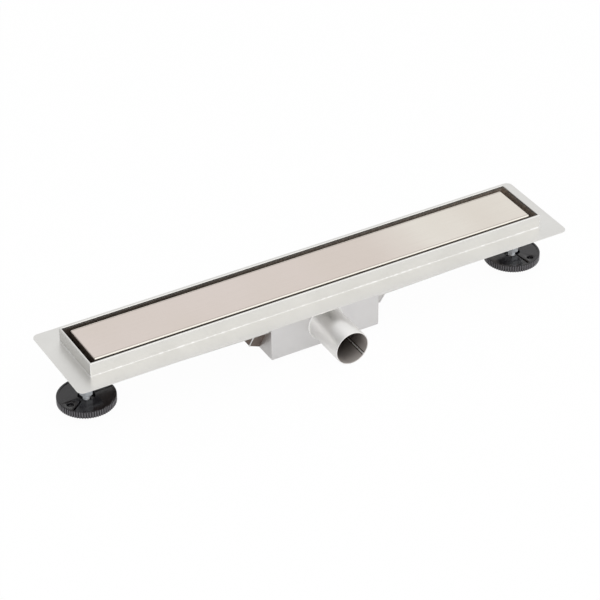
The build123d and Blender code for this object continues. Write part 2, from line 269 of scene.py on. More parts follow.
def angles_between(start_deg: float, end_deg: float, step_deg: float = 3.0) -> list[float]:
    """Angles in radians from one angle in degrees to another, ends included."""
    count = max(1, math.ceil(abs(end_deg - start_deg) / step_deg))
    return [math.radians(start_deg + (end_deg - start_deg) * i / count) for i in range(count + 1)]


@dataclass(frozen=True)
class Finish:
    """A surface finish with its typical values."""

    name: str
    colour: str
    metallic: float
    roughness: float
    roughness_spread: float = 0.05

    def pattern(self, tree: Tree, shader: Node, place: Socket) -> None:
        """Adds what makes the finish more than one colour; a plain finish adds nothing."""

    def drifting_gloss(self, tree: Tree, drift: Socket) -> Socket:
        """Lets the gloss drift about the finish's roughness.

        Args:
            tree: The material's tree.
            drift: The noise that it follows.

        Returns:
            The roughness.
        """
        gloss = add_node(
            tree, "ShaderNodeMapRange",
            {
                "From Min": NOISE_LOW, "From Max": NOISE_HIGH,
                "To Min": self.roughness - self.roughness_spread,
                "To Max": self.roughness + self.roughness_spread,
            },
            {"Value": drift},
        )
        return gloss.outputs["Result"]

    def streaks(
        self,
        tree: Tree,
        place: Socket,
        sizes: Point,
        detail: float,
        roughness: float = 0.5,
        shift: Point = (0.0, 0.0, 0.0),
    ) -> Socket:
        """Stretches a noise along the axes.

        Args:
            tree: The material's tree.
            place: The point in Object coordinates.
            sizes: A streak's size along each axis.
            detail: How many finer layers it has.
            roughness: How strong those are.
            shift: How many streaks it is moved by.

        Returns:
            The noise.
        """
        stretch = add_node(
            tree, "ShaderNodeMapping",
            {"Location": shift, "Scale": tuple(1 / size for size in sizes)}, {"Vector": place},
        )
        noise = add_node(
            tree, "ShaderNodeTexNoise", {"Scale": 1.0, "Detail": detail, "Roughness": roughness},
            {"Vector": stretch.outputs["Vector"]},
        )
        return noise.outputs["Fac"]

    def from_axis(self, tree: Tree, place: Socket, axis: Point, across: Point) -> Socket:
        """Measures how far a point lies from an axis.

        Args:
            tree: The material's tree.
            place: The point.
            axis: A point on the axis.
            across: One for each direction across the axis, nought along it.

        Returns:
            The distance.
        """
        centred = add_node(
            tree, "ShaderNodeVectorMath", {"operation": "SUBTRACT", 1: axis}, {0: place}
        )
        flat = add_node(
            tree, "ShaderNodeVectorMath", {"operation": "MULTIPLY", 1: across},
            {0: centred.outputs["Vector"]},
        )
        reach = add_node(
            tree, "ShaderNodeVectorMath", {"operation": "LENGTH"}, {0: flat.outputs["Vector"]}
        )
        return reach.outputs["Value"]

    def material(self) -> bpy.types.Material:
        """Builds the finish's material.

        Returns:
            A node material on Object coordinates.
        """
        made = bpy.data.materials.new(self.name)
        made.use_nodes = True
        tree = made.node_tree
        shader = tree.nodes["Principled BSDF"]
        shader.inputs["Base Color"].default_value = linear(self.colour)
        shader.inputs["Metallic"].default_value = self.metallic
        shader.inputs["Roughness"].default_value = self.roughness
        place = add_node(tree, "ShaderNodeTexCoord").outputs["Object"]
        self.pattern(tree, shader, place)
        return made


@dataclass(frozen=True)
class PickledSheet(Finish):
    """Stainless sheet, cold rolled and pickled: a pale, cloudy satin with no sharp mirroring."""

    cloud_size: float = 60 * MM
    light_cloud: str = "EAE9E6"
    dark_cloud: str = "DCDBD8"
    # Real rolling grain is finer, and is drawn as coarse as the render can show
    grain_size: float = 0.9 * MM
    grain_run: float = 24 * MM
    grain_depth: float = 0.003 * MM
    wave_size: float = 90 * MM
    wave_depth: float = 0.12 * MM
    # The trough's inner faces: painted shade and a duller gloss; no size means no such faces
    inside: Point = (350.6 * MM, 45.1 * MM, -0.4 * MM)
    inside_fade: float = 2 * MM
    inside_light: str = "D8CCC0"
    inside_dark: str = "6E6259"
    # The painted shade is darkest at the left end of the trough and lightest at the right
    inside_ends: tuple[float, float] = (-420 * MM, 320 * MM)
    inside_drift: tuple[float, float] = (0.6, 1.1)
    inside_roughness: float = 0.62
    # Upright streaks of painted reflection within that shade
    streak_size: float = 2.5 * MM
    streak_run: float = 45 * MM
    # The fold at the upstand's foot: a painted highlight, in broken dashes
    fold: Point = (351.4 * MM, 45.9 * MM, -18 * MM)
    fold_reach: float = 2.3 * MM
    fold_full: float = 0.92 * MM
    fold_tone: str = "FFFFFF"
    fold_dash: float = 9 * MM
    fold_break: tuple[float, float] = (0.49, 0.58)

    def pattern(self, tree: Tree, shader: Node, place: Socket) -> None:
        """Gives colour clouds, gloss grain, slow waves, a painted fold highlight and painted inner
        shade.

        Args:
            tree: The material's tree.
            shader: Its shader.
            place: The point in Object coordinates.
        """
        cloud = add_node(
            tree, "ShaderNodeTexNoise",
            {"Scale": 1 / self.cloud_size, "Detail": 5.0, "Roughness": 0.55}, {"Vector": place},
        )
        tone = add_node(
            tree, "ShaderNodeMix",
            {"data_type": "RGBA", 6: linear(self.dark_cloud), 7: linear(self.light_cloud)},
            {0: cloud.outputs["Fac"]},
        )
        sizes = (self.grain_run, self.grain_size, self.grain_size)
        grain = self.streaks(tree, place, sizes, 3.0, 0.6)
        colour = tone.outputs[2]
        roughness = self.drifting_gloss(tree, grain)
        if self.inside[0] > 0:
            # Painted highlight along the fold at the upstand's foot
            colour = self.burnished_fold(tree, place, colour)
            # Painted shade on the trough's inner walls
            colour, roughness = self.dull_inside(tree, place, colour, roughness)
        tree.links.new(colour, shader.inputs["Base Color"])
        tree.links.new(roughness, shader.inputs["Roughness"])
        wave = add_node(
            tree, "ShaderNodeTexNoise", {"Scale": 1 / self.wave_size, "Detail": 1.0},
            {"Vector": place},
        )
        slow = add_node(
            tree, "ShaderNodeBump", {"Strength": 1.0, "Distance": self.wave_depth},
            {"Height": wave.outputs["Fac"]},
        )
        fine = add_node(
            tree, "ShaderNodeBump", {"Strength": 1.0, "Distance": self.grain_depth},
            {"Height": grain, "Normal": slow.outputs["Normal"]},
        )
        tree.links.new(fine.outputs["Normal"], shader.inputs["Normal"])

    def burnished_fold(self, tree: Tree, place: Socket, colour: Socket) -> Socket:
        """Paints a highlight on the fold between flange and upstand, in broken dashes.

        Args:
            tree: The material's tree.
            place: The point in Object coordinates.
            colour: The colour so far.

        Returns:
            The colour with the painted highlight.
        """
        dash = add_node(
            tree, "ShaderNodeTexNoise", {"Scale": 1 / self.fold_dash, "Detail": 2.0},
            {"Vector": place},
        )
        start, full = self.fold_break
        broken = add_node(
            tree, "ShaderNodeMapRange", {"From Min": start, "From Max": full},
            {"Value": dash.outputs["Fac"]},
        )
        parts = add_node(tree, "ShaderNodeSeparateXYZ", None, {"Vector": place})
        above = add_node(
            tree, "ShaderNodeMath", {"operation": "SUBTRACT", 1: self.fold[2]},
            {0: parts.outputs["Z"]},
        )
        apart = add_node(
            tree, "ShaderNodeMath", {"operation": "ABSOLUTE"}, {0: above.outputs["Value"]}
        )
        beyond = self.beyond_box(tree, place, self.fold[0], self.fold[1])
        mask = broken.outputs["Result"]
        for distance in (beyond, apart.outputs["Value"]):
            near = add_node(
                tree, "ShaderNodeMapRange",
                {"From Min": self.fold_reach, "From Max": self.fold_full}, {"Value": distance},
            )
            both = add_node(
                tree, "ShaderNodeMath", {"operation": "MULTIPLY"},
                {0: near.outputs["Result"], 1: mask},
            )
            mask = both.outputs["Value"]
        mixed = add_node(
            tree, "ShaderNodeMix", {"data_type": "RGBA", 7: linear(self.fold_tone)},
            {0: mask, 6: colour},
        )
        return mixed.outputs[2]

    def dull_inside(
        self, tree: Tree, place: Socket, colour: Socket, roughness: Socket
    ) -> tuple[Socket, Socket]:
        """Paints shade, in upright streaks of painted reflection, on the trough's inner walls;
        dulls them.

        Args:
            tree: The material's tree.
            place: The point in Object coordinates.
            colour: The colour so far.
            roughness: The roughness so far.

        Returns:
            The colour and the roughness with the inner walls.
        """
        beyond = self.beyond_box(tree, place, self.inside[0], self.inside[1])
        within = add_node(
            tree, "ShaderNodeMath", {"operation": "LESS_THAN", 1: 0.0}, {0: beyond}
        )
        parts = add_node(tree, "ShaderNodeSeparateXYZ", None, {"Vector": place})
        top = self.inside[2]
        depth = add_node(
            tree, "ShaderNodeMapRange", {"From Min": top, "From Max": top - self.inside_fade},
            {"Value": parts.outputs["Z"]},
        )
        mask = add_node(
            tree, "ShaderNodeMath", {"operation": "MULTIPLY"},
            {0: within.outputs["Value"], 1: depth.outputs["Result"]},
        )
        sizes = (self.streak_size, self.streak_size, self.streak_run)
        streak = self.streaks(tree, place, sizes, 2.0)
        start, end = self.inside_ends
        along = add_node(
            tree, "ShaderNodeMapRange", {"From Min": start, "From Max": end},
            {"Value": parts.outputs["X"]},
        )
        least, most = self.inside_drift
        drift = add_node(
            tree, "ShaderNodeMapRange",
            {"From Min": NOISE_LOW, "From Max": NOISE_HIGH, "To Min": least, "To Max": most},
            {"Value": streak},
        )
        share = add_node(
            tree, "ShaderNodeMath", {"operation": "MULTIPLY"},
            {0: along.outputs["Result"], 1: drift.outputs["Result"]},
        )
        # Painted shade: dark at the left end, light at the right, in streaks
        brown = add_node(
            tree, "ShaderNodeMix",
            {"data_type": "RGBA", 6: linear(self.inside_dark), 7: linear(self.inside_light)},
            {0: share.outputs["Value"]},
        )
        return self.browned(tree, mask.outputs["Value"], brown.outputs[2], colour, roughness)

    def browned(
        self, tree: Tree, mask: Socket, brown: Socket, colour: Socket, roughness: Socket
    ) -> tuple[Socket, Socket]:
        """Paints shade into the colour and dulls the gloss where a mask is one.

        Args:
            tree: The material's tree.
            mask: The mask.
            brown: The painted shade colour that it lets in.
            colour: The colour elsewhere.
            roughness: The roughness elsewhere.

        Returns:
            The colour and the roughness.
        """
        mixed = add_node(
            tree, "ShaderNodeMix", {"data_type": "RGBA"}, {0: mask, 6: colour, 7: brown}
        )
        dulled = add_node(
            tree, "ShaderNodeMix", {"data_type": "FLOAT", 3: self.inside_roughness},
            {0: mask, 2: roughness},
        )
        return mixed.outputs[2], dulled.outputs[0]

    def beyond_box(
        self, tree: Tree, place: Socket, half_length: float, half_width: float
    ) -> Socket:
        """Measures how far a point lies beyond a box in plan.

        Args:
            tree: The material's tree.
            place: The point in Object coordinates.
            half_length: The box's half length along X.
            half_width: Its half width along Y.

        Returns:
            A socket with the distance, below zero inside the box.
        """
        parts = add_node(tree, "ShaderNodeSeparateXYZ", None, {"Vector": place})
        past = []
        for axis, half in (("X", half_length), ("Y", half_width)):
            off = add_node(
                tree, "ShaderNodeMath", {"operation": "ABSOLUTE"}, {0: parts.outputs[axis]}
            )
            edge = add_node(
                tree, "ShaderNodeMath", {"operation": "SUBTRACT", 1: half},
                {0: off.outputs["Value"]},
            )
            past.append(edge.outputs["Value"])
        farthest = add_node(
            tree, "ShaderNodeMath", {"operation": "MAXIMUM"}, {0: past[0], 1: past[1]}
        )
        return farthest.outputs["Value"]


@dataclass(frozen=True)
class RolledTube(PickledSheet):
    """Rolled, pickled stainless tube: satin outside, dull in its bore, with painted shade deep
    inside.
    """

    inside: Point = (0.0, 0.0, 0.0)
    axis: Point = (0.0, 0.0, -56 * MM)
    bore: float = 24.0 * MM
    deep: float = -62 * MM
    lip: float = -118 * MM
    # Painted shade in the bore: dark deep inside, lighter towards the lip
    deep_tone: str = "564740"
    lip_tone: str = "CFCAC6"

    def pattern(self, tree: Tree, shader: Node, place: Socket) -> None:
        """Gives the sheet's clouds and grain, with a bore dulled, and darkened with depth as
        painted shade.

        Args:
            tree: The material's tree.
            shader: Its shader.
            place: The point in Object coordinates.
        """
        super().pattern(tree, shader, place)
        outside = shader.inputs["Base Color"].links[0].from_socket
        satin = shader.inputs["Roughness"].links[0].from_socket
        reach = self.from_axis(tree, place, self.axis, (1.0, 0.0, 1.0))
        within = add_node(
            tree, "ShaderNodeMath", {"operation": "LESS_THAN", 1: self.bore}, {0: reach}
        )
        parts = add_node(tree, "ShaderNodeSeparateXYZ", None, {"Vector": place})
        depth = add_node(
            tree, "ShaderNodeMapRange", {"From Min": self.deep, "From Max": self.lip},
            {"Value": parts.outputs["Y"]},
        )
        # Painted shade: darker deeper in the bore
        brown = add_node(
            tree, "ShaderNodeMix",
            {"data_type": "RGBA", 6: linear(self.deep_tone), 7: linear(self.lip_tone)},
            {0: depth.outputs["Result"]},
        )
        colour, roughness = self.browned(
            tree, within.outputs["Value"], brown.outputs[2], outside, satin
        )
        tree.links.new(colour, shader.inputs["Base Color"])
        tree.links.new(roughness, shader.inputs["Roughness"])


@dataclass(frozen=True)
class BrushedPlate(Finish):
    """Stainless plate, belt brushed along its length: fine straight lines, a warm, soft sheen."""

    # Painted light: the plate is darker at its left end and lighter towards the right
    left_tone: str = "E5DAD4"
    right_tone: str = "F0EBE2"
    # Where along the plate the left tone turns into the right one
    turn: tuple[float, float] = (70 * MM, 210 * MM)
    # Painted reflection: slow, soft bands of a darker tone across the plate, placed by the shift
    cloud_tone: str = "DCD1C6"
    cloud_run: Point = (170 * MM, 420 * MM, 420 * MM)
    cloud_shift: Point = (1.2, 0.0, 0.0)
    cloud_span: tuple[float, float] = (0.38, 0.62)
    cloud_share: float = 0.45
    # Belt lines are finer than a pixel, and are drawn as coarse as the render can show
    line_tone: str = "D3C9C0"
    line_width: float = 0.45 * MM
    line_run: float = 70 * MM
    line_depth: float = 0.005 * MM
    line_span: tuple[float, float] = (0.35, 0.75)
    line_share: float = 0.35
    # The folded edges: a painted dark reflection beside the bend and a painted highlight on the
    # bend
    half_width: float = 37.5 * MM
    crease_from_edge: float = 2.9 * MM
    crease_width: float = 0.7 * MM
    crease_full: float = 0.28 * MM
    crease_share: float = 0.75
    crease_tone: str = "A39A90"
    bend_from_edge: float = 2.1 * MM
    bend_full: float = 1.8 * MM
    bend_tone: str = "EDE8DF"
    # The folded skirt, darkened by painted shade in the gap that it hangs in, and duller
    skirt_top: float = -1.9 * MM
    skirt_full: float = -2.9 * MM
    skirt_tone: str = "84786D"
    skirt_roughness: float = 0.6

    def pattern(self, tree: Tree, shader: Node, place: Socket) -> None:
        """Gives brush lines; painted light: reflection bands, a lighter right, fold line and
        highlight, skirt shade.

        Args:
            tree: The material's tree.
            shader: Its shader.
            place: The point in Object coordinates.
        """
        parts = add_node(tree, "ShaderNodeSeparateXYZ", None, {"Vector": place})
        sizes = (self.line_run, self.line_width, self.line_width)
        lines = self.streaks(tree, place, sizes, 4.0, 0.65)
        low, high = self.line_span
        faint = add_node(
            tree, "ShaderNodeMapRange",
            {"From Min": low, "From Max": high, "To Max": self.line_share}, {"Value": lines},
        )
        # Painted reflection bands
        clouds = self.streaks(tree, place, self.cloud_run, 2.0, shift=self.cloud_shift)
        low, high = self.cloud_span
        cloudy = add_node(
            tree, "ShaderNodeMapRange",
            {"From Min": low, "From Max": high, "To Max": self.cloud_share}, {"Value": clouds},
        )
        # Painted shade on the skirt, below the plate's top
        skirt = add_node(
            tree, "ShaderNodeMapRange", {"From Min": self.skirt_top, "From Max": self.skirt_full},
            {"Value": parts.outputs["Z"]},
        )
        layers = [
            (self.cloud_tone, cloudy.outputs["Result"]),
            (self.line_tone, faint.outputs["Result"]),
            *self.folds(tree, parts.outputs["Y"]),
            (self.skirt_tone, skirt.outputs["Result"]),
        ]
        # Painted light along the plate, lighter towards the right
        colour = self.warmth(tree, parts.outputs["X"])
        for tone, share in layers:
            layer = add_node(
                tree, "ShaderNodeMix", {"data_type": "RGBA", 7: linear(tone)},
                {0: share, 6: colour},
            )
            colour = layer.outputs[2]
        tree.links.new(colour, shader.inputs["Base Color"])
        dulled = add_node(
            tree, "ShaderNodeMix", {"data_type": "FLOAT", 3: self.skirt_roughness},
            {0: skirt.outputs["Result"], 2: self.drifting_gloss(tree, lines)},
        )
        tree.links.new(dulled.outputs[0], shader.inputs["Roughness"])
        relief = add_node(
            tree, "ShaderNodeBump", {"Strength": 1.0, "Distance": self.line_depth},
            {"Height": lines},
        )
        tree.links.new(relief.outputs["Normal"], shader.inputs["Normal"])

    def warmth(self, tree: Tree, along: Socket) -> Socket:
        """Turns the darker left tone into the lighter right one along the plate, as painted light.

        Args:
            tree: The material's tree.
            along: The place along the plate.

        Returns:
            The plate's colour with its painted light.
        """
        start, end = self.turn
        turned = add_node(
            tree, "ShaderNodeMapRange",
            {"interpolation_type": "SMOOTHSTEP", "From Min": start, "From Max": end},
            {"Value": along},
        )
        warm = add_node(
            tree, "ShaderNodeMix",
            {"data_type": "RGBA", 6: linear(self.left_tone), 7: linear(self.right_tone)},
            {0: turned.outputs["Result"]},
        )
        return warm.outputs[2]

    def folds(self, tree: Tree, across: Socket) -> list[tuple[str, Socket]]:
        """Marks the painted dark reflection beside each long fold and the painted highlight on its
        bend.

        Args:
            tree: The material's tree.
            across: The place across the plate.

        Returns:
            The crease's and the bend's tone and share.
        """
        off = add_node(tree, "ShaderNodeMath", {"operation": "ABSOLUTE"}, {0: across})
        from_side = add_node(
            tree, "ShaderNodeMath", {"operation": "SUBTRACT", 0: self.half_width},
            {1: off.outputs["Value"]},
        )
        edge = from_side.outputs["Value"]
        aside = add_node(
            tree, "ShaderNodeMath", {"operation": "SUBTRACT", 1: self.crease_from_edge}, {0: edge}
        )
        near = add_node(
            tree, "ShaderNodeMath", {"operation": "ABSOLUTE"}, {0: aside.outputs["Value"]}
        )
        # Painted dark reflection in a line beside the bend
        crease = add_node(
            tree, "ShaderNodeMapRange",
            {
                "From Min": self.crease_width, "From Max": self.crease_full,
                "To Max": self.crease_share,
            },
            {"Value": near.outputs["Value"]},
        )
        # Painted highlight on the bend
        bend = add_node(
            tree, "ShaderNodeMapRange",
            {"From Min": self.bend_from_edge, "From Max": self.bend_full}, {"Value": edge},
        )
        return [
            (self.crease_tone, crease.outputs["Result"]), (self.bend_tone, bend.outputs["Result"])
        ]


@dataclass(frozen=True)
class MottledFinish(Finish):
    """A finish whose colour and gloss drift a little, as welded, plated and moulded ones do."""

    second_colour: str = "202020"
    patch_size: float = 6 * MM
    relief_size: float = 0.6 * MM
    relief_depth: float = 0.004 * MM

    def pattern(self, tree: Tree, shader: Node, place: Socket) -> None:
        """Gives patches between two tones, gloss that follows them, and a fine relief.

        Args:
            tree: The material's tree.
            shader: Its shader.
            place: The point in Object coordinates.
        """
        patch = add_node(
            tree, "ShaderNodeTexNoise", {"Scale": 1 / self.patch_size, "Detail": 4.0},
            {"Vector": place},
        )
        tone = add_node(
            tree, "ShaderNodeMix",
            {"data_type": "RGBA", 6: linear(self.colour), 7: linear(self.second_colour)},
            {0: patch.outputs["Fac"]},
        )
        tree.links.new(tone.outputs[2], shader.inputs["Base Color"])
        gloss = self.drifting_gloss(tree, patch.outputs["Fac"])
        tree.links.new(gloss, shader.inputs["Roughness"])
        relief = add_node(
            tree, "ShaderNodeTexNoise", {"Scale": 1 / self.relief_size, "Detail": 2.0},
            {"Vector": place},
        )
        bump = add_node(
            tree, "ShaderNodeBump", {"Strength": 1.0, "Distance": self.relief_depth},
            {"Height": relief.outputs["Fac"]},
        )
        tree.links.new(bump.outputs["Normal"], shader.inputs["Normal"])


@dataclass(frozen=True)
class FlutedMoulding(MottledFinish):
    """Moulded plastic with a fluted edge whose crests are paler as a painted highlight."""

    axis: Point = (340 * MM, 0.0, 0.0)
    crest_start: float = 39.9 * MM
    crest_full: float = 40.4 * MM
    crest_colour: str = "5A585C"

    def pattern(self, tree: Tree, shader: Node, place: Socket) -> None:
        """Gives the moulding's patches, with a painted highlight on the crests of the fluted edge.

        Args:
            tree: The material's tree.
            shader: Its shader.
            place: The point in Object coordinates.
        """
        super().pattern(tree, shader, place)
        body = shader.inputs["Base Color"].links[0].from_socket
        # Both pads share one axis, as the left one's points are folded over to the right
        folded = add_node(tree, "ShaderNodeVectorMath", {"operation": "ABSOLUTE"}, {0: place})
        reach = self.from_axis(tree, folded.outputs["Vector"], self.axis, (1.0, 1.0, 0.0))
        # Painted highlight on the flute crests
        crest = add_node(
            tree, "ShaderNodeMapRange",
            {"From Min": self.crest_start, "From Max": self.crest_full}, {"Value": reach},
        )
        scuffed = add_node(
            tree, "ShaderNodeMix", {"data_type": "RGBA", 7: linear(self.crest_colour)},
            {0: crest.outputs["Result"], 6: body},
        )
        tree.links.new(scuffed.outputs[2], shader.inputs["Base Color"])


@dataclass
class FinishRack:
    """Every finish on the drain, each made once."""

    # Cold-rolled stainless sheet: pale, cloudy satin, painted shade in the trough, painted fold
    # highlight
    sheet: Finish = PickledSheet("pickled_stainless_sheet", "E6E7E5", 1.0, 0.36)
    # The same sheet without the painted inner shade or fold highlight: plain, cloudy satin
    skin: Finish = PickledSheet(
        "pickled_stainless_skin", "E6E7E5", 1.0, 0.38, light_cloud="E4E3E2", dark_cloud="D4D2D2",
        inside=(0.0, 0.0, 0.0),
    )
    # Rolled stainless tube: the same satin, dull inside, with painted shade deeper in the bore
    tube: Finish = RolledTube(
        "rolled_stainless_tube", "E0E0DF", 1.0, 0.40, light_cloud="FBFAF8", dark_cloud="EEEDEB",
        cloud_size=24 * MM,
    )
    # Belt-brushed stainless plate: long fine lines, warmer than the sheet, with painted light and
    # shade
    plate: Finish = BrushedPlate("brushed_stainless_plate", "E0D6CE", 1.0, 0.36)
    # Mill-finish stainless of the inner pieces: darker and cloudier, as it was never brushed
    mill: Finish = MottledFinish(
        "mill_stainless_sheet", "C5C0BA", 1.0, 0.45, second_colour="ABA59E", patch_size=25 * MM
    )
    # Stainless darkened to a dull umber: painted shade for the chute in shadow under the trough
    tinted: Finish = MottledFinish(
        "heat_tinted_stainless", "7C6C62", 1.0, 0.45, second_colour="655750", patch_size=14 * MM
    )
    # The dark blue-brown lines of oxide that a weld leaves beside its bead
    oxide: Finish = MottledFinish(
        "weld_oxide_line", "3A302A", 0.6, 0.55, second_colour="2A221E", patch_size=5 * MM
    )
    # TIG weld beads: real ripples, their near-white tone a painted highlight
    weld: Finish = MottledFinish(
        "tig_weld_bead", "F9F9F9", 1.0, 0.30, second_colour="E4E4E2", patch_size=3 * MM
    )
    # Bright zinc plate under a clear passivate: bluish white, a mirror with some milk in it
    zinc: Finish = MottledFinish(
        "passivated_zinc_plate", "FBFDFF", 0.50, 0.36, second_colour="E3EBF2",
        patch_size=2.5 * MM,
    )
    # Moulded polyamide: near black, and glossy enough to grey where it mirrors the light
    plastic: Finish = FlutedMoulding(
        "moulded_black_polyamide", "19171A", 0.0, 0.17, second_colour="211F22",
        patch_size=9 * MM, relief_depth=0.002 * MM, roughness_spread=0.03,
    )
    # Moulded rubber: black and matt
    rubber: Finish = MottledFinish(
        "moulded_black_rubber", "1A1A1A", 0.0, 0.62, second_colour="242322", patch_size=4 * MM
    )
    made: dict[str, bpy.types.Material] = field(default_factory=dict)

    def get(self, finish: Finish) -> bpy.types.Material:
        """Gives a finish's material, built on its first use.

        Args:
            finish: The finish.

        Returns:
            Its material.
        """
        if finish.name not in self.made:
            self.made[finish.name] = finish.material()
        return self.made[finish.name]


@dataclass
class Workshop:
    """Shared tools that dress nodes and fit pieces to the frame."""

    frame: dict
    rack: FinishRack
    bead_tree: Tree | None = None
    thread_tree: Tree | None = None
    bead_seed: int = 7

    def dress(self, node: str, finish: Finish) -> None:
        """Gives a node of the frame its finish.

        Args:
            node: The node's name.
            finish: The finish that it wears.
        """
        mesh = self.frame["nodes"][node].data
        mesh.materials.clear()
        mesh.materials.append(self.rack.get(finish))
        LOG.info("node %s wears %s", node, finish.name)

    def fit(
        self, piece: bpy.types.Object, finish: Finish, body: str, slot: Slot, *nodes: str
    ) -> None:
        """Dresses a new piece and lets it ride on its body.

        Args:
            piece: The finished object.
            finish: The finish that it wears.
            body: The body that it rides on.
            slot: The record's material slot; not used.
            nodes: The nodes that it stands for.
        """
        piece.data.materials.clear()
        piece.data.materials.append(self.rack.get(finish))
        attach(piece, body)
        if nodes:
            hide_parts(*nodes)
        LOG.info("piece %s: %d faces on %s", piece.name, len(piece.data.polygons), body)

    def eased_copy(self, node: str, name: str, edge: float, steps: int = 2) -> bpy.types.Object:
        """Copies a node's mesh, joins its triangles and eases its sharp edges.

        Args:
            node: The node to copy.
            name: The new piece's name.
            edge: Width of the eased edge.
            steps: Segments across that edge.

        Returns:
            The new piece, a plain mesh.
        """
        work = bmesh.new()
        work.from_mesh(self.frame["nodes"][node].data)
        bmesh.ops.remove_doubles(work, verts=work.verts, dist=SAME_CAD_POINT)
        bmesh.ops.dissolve_limit(
            work, angle_limit=math.radians(FLAT_DEG), verts=work.verts, edges=work.edges,
            delimit=set(),
        )
        mesh = bpy.data.meshes.new(name)
        work.to_mesh(mesh)
        work.free()
        piece = add_object(name, smoothed(mesh))
        ease = piece.modifiers.new("ease", "BEVEL")
        ease.width = edge
        ease.segments = steps
        ease.limit_method = "ANGLE"
        ease.angle_limit = math.radians(SHARP_DEG)
        ease.use_clamp_overlap = True
        ease.harden_normals = True
        return baked(piece)

    def bead(
        self, name: str, paths: Iterable[tuple[Sequence[Point], bool]], width: float, pitch: float
    ) -> bpy.types.Object:
        """Lays weld beads along paths.

        Args:
            name: The new piece's name.
            paths: Points of each path, and whether it closes on itself.
            width: Thickness of the bead.
            pitch: Distance from one ripple to the next.

        Returns:
            The beads as one plain mesh.
        """
        curve = bpy.data.curves.new(name, "CURVE")
        curve.dimensions = "3D"
        for points, closed in paths:
            spline = curve.splines.new("POLY")
            spline.points.add(len(points) - 1)
            for knot, point in zip(spline.points, points):
                knot.co = (*point, 1.0)
            spline.use_cyclic_u = closed
        piece = add_object(name, curve)
        if self.bead_tree is None:
            self.bead_tree = bead_tree()
        ripple = piece.modifiers.new("ripples", "NODES")
        ripple.node_group = self.bead_tree
        weld = self.rack.get(self.rack.weld)
        values = {"Width": width, "Pitch": pitch, "Seed": self.bead_seed, "Material": weld}
        set_inputs(ripple, values)
        return baked(piece)


def set_inputs(modifier: bpy.types.Modifier, values: dict[str, object]) -> None:
    """Sets a Geometry Nodes modifier's inputs, found by name, by their identifiers.

    Args:
        modifier: The modifier.
        values: Values by input name.
    """
    for item in modifier.node_group.interface.items_tree:
        if item.item_type == "SOCKET" and item.in_out == "INPUT" and item.name in values:
            modifier[item.identifier] = values[item.name]


def new_geometry_tree(name: str, inputs: dict[str, str]) -> tuple[Tree, Node]:
    """Starts a Geometry Nodes tree with named inputs.

    Args:
        name: The tree's name.
        inputs: Socket types by input name.

    Returns:
        The tree and its group input node.
    """
    tree = bpy.data.node_groups.new(name, "GeometryNodeTree")
    tree.interface.new_socket("Geometry", in_out="INPUT", socket_type="NodeSocketGeometry")
    for label, kind in inputs.items():
        tree.interface.new_socket(label, in_out="INPUT", socket_type=kind)
    tree.interface.new_socket("Geometry", in_out="OUTPUT", socket_type="NodeSocketGeometry")
    return tree, add_node(tree, "NodeGroupInput")


def end_geometry_tree(tree: Tree, start: Node, shape: Socket) -> Tree:
    """Ends a tree: instances become real, get their material and reach the output.

    Args:
        tree: The tree.
        start: Its group input node.
        shape: The finished geometry.

    Returns:
        The tree.
    """
    real = add_node(tree, "GeometryNodeRealizeInstances", None, {"Geometry": shape})
    dressed = add_node(
        tree, "GeometryNodeSetMaterial", None,
        {"Geometry": real.outputs["Geometry"], "Material": start.outputs["Material"]},
    )
    add_node(tree, "NodeGroupOutput", None, {"Geometry": dressed.outputs["Geometry"]})
    return tree


def bead_tree() -> Tree:
    """Builds the weld: overlapping ripples along a path, each a little different.

    Returns:
        A tree with the inputs Width, Pitch, Seed and Material.
    """
    ripple_overlap = 2.2
    least, most = 0.9, 1.1
    tree, start = new_geometry_tree(
        "weld_ripples",
        {
            "Width": "NodeSocketFloat", "Pitch": "NodeSocketFloat",
            "Seed": "NodeSocketInt", "Material": "NodeSocketMaterial",
        },
    )
    path = add_node(
        tree, "GeometryNodeResampleCurve", {"mode": "LENGTH"},
        {"Curve": start.outputs["Geometry"], "Length": start.outputs["Pitch"]},
    )
    drop = add_node(tree, "GeometryNodeMeshUVSphere", {"Segments": 10, "Rings": 7, "Radius": 0.5})
    soft = add_node(
        tree, "GeometryNodeSetShadeSmooth", None, {"Geometry": drop.outputs["Mesh"]}
    )
    tangent = add_node(tree, "GeometryNodeInputTangent")
    turn = add_node(
        tree, "FunctionNodeAlignRotationToVector", {"axis": "Z"},
        {"Vector": tangent.outputs["Tangent"]},
    )
    spread = add_node(
        tree, "FunctionNodeRandomValue", {"data_type": "FLOAT", 2: least, 3: most},
        {"Seed": start.outputs["Seed"]},
    )
    wide = add_node(
        tree, "ShaderNodeMath", {"operation": "MULTIPLY"},
        {0: start.outputs["Width"], 1: spread.outputs[1]},
    )
    long = add_node(
        tree, "ShaderNodeMath", {"operation": "MULTIPLY", 1: ripple_overlap},
        {0: start.outputs["Pitch"]},
    )
    size = add_node(
        tree, "ShaderNodeCombineXYZ", None,
        {"X": wide.outputs["Value"], "Y": wide.outputs["Value"], "Z": long.outputs["Value"]},
    )
    row = add_node(
        tree, "GeometryNodeInstanceOnPoints", None,
        {
            "Points": path.outputs["Curve"], "Instance": soft.outputs["Geometry"],
            "Rotation": turn.outputs["Rotation"], "Scale": size.outputs["Vector"],
        },
    )
    return end_geometry_tree(tree, start, row.outputs["Instances"])


